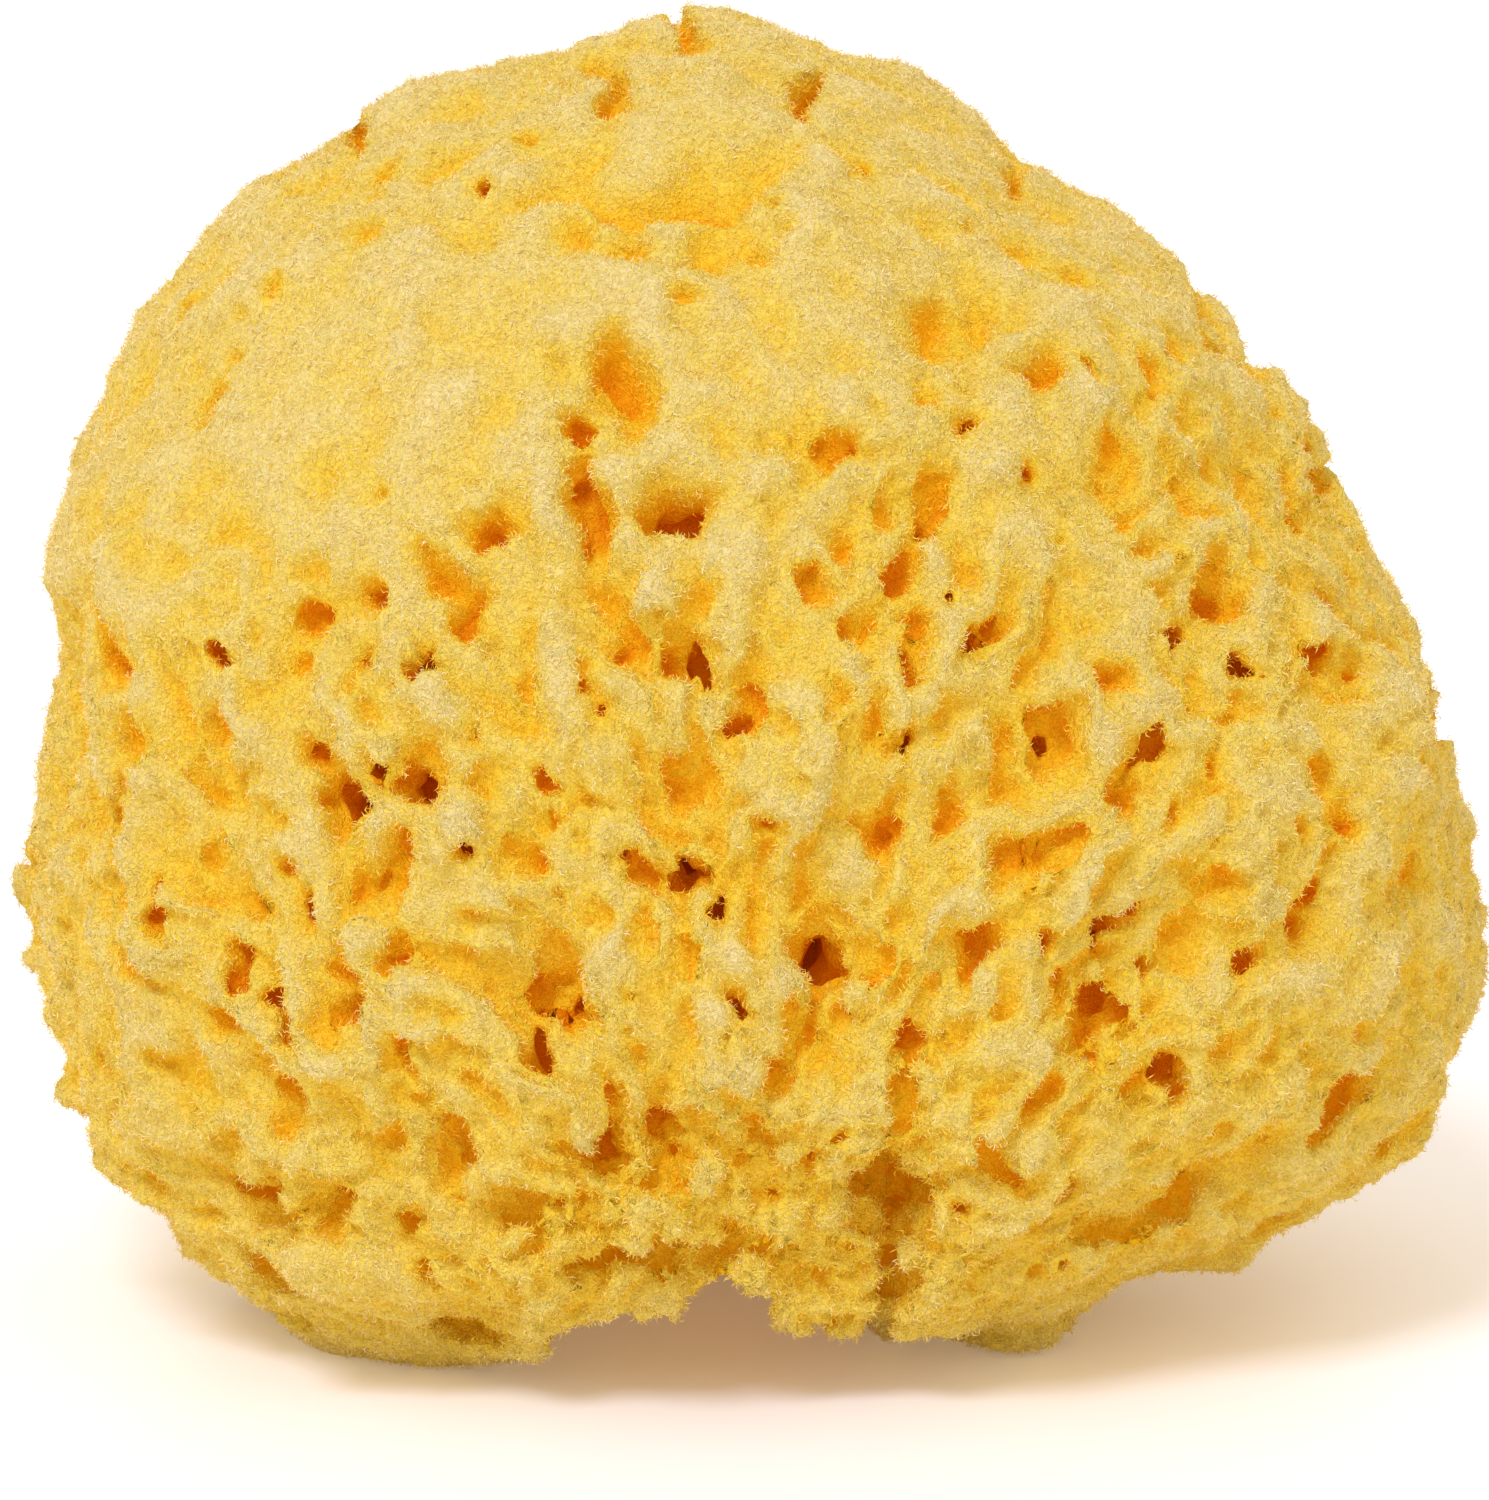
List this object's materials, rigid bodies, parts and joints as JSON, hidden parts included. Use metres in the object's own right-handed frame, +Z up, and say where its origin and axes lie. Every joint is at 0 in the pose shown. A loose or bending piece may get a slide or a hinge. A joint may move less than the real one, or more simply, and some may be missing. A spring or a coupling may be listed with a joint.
{
  "type": "sea sponge",
  "caption": "Natural bath sponge, a rounded honeycomb body with canals and pits all over, cut flat underneath so that it stands.",
  "frame": {"origin": "on the flat cut underneath, below the middle of the body", "axes": "+Z up from the cut, +X along the body's width, and the broad face looks towards -Y"},
  "size_m": [0.15, 0.1174, 0.1302],
  "materials": {
    "sponge_fibre": "dry, matt, fuzzy spongin fibre, pale yellow on the knobs and orange to red-brown inside the canals"
  },
  "bodies": {
    "root": {"sponge": "sponge_fibre"}
  },
  "joints": []
}
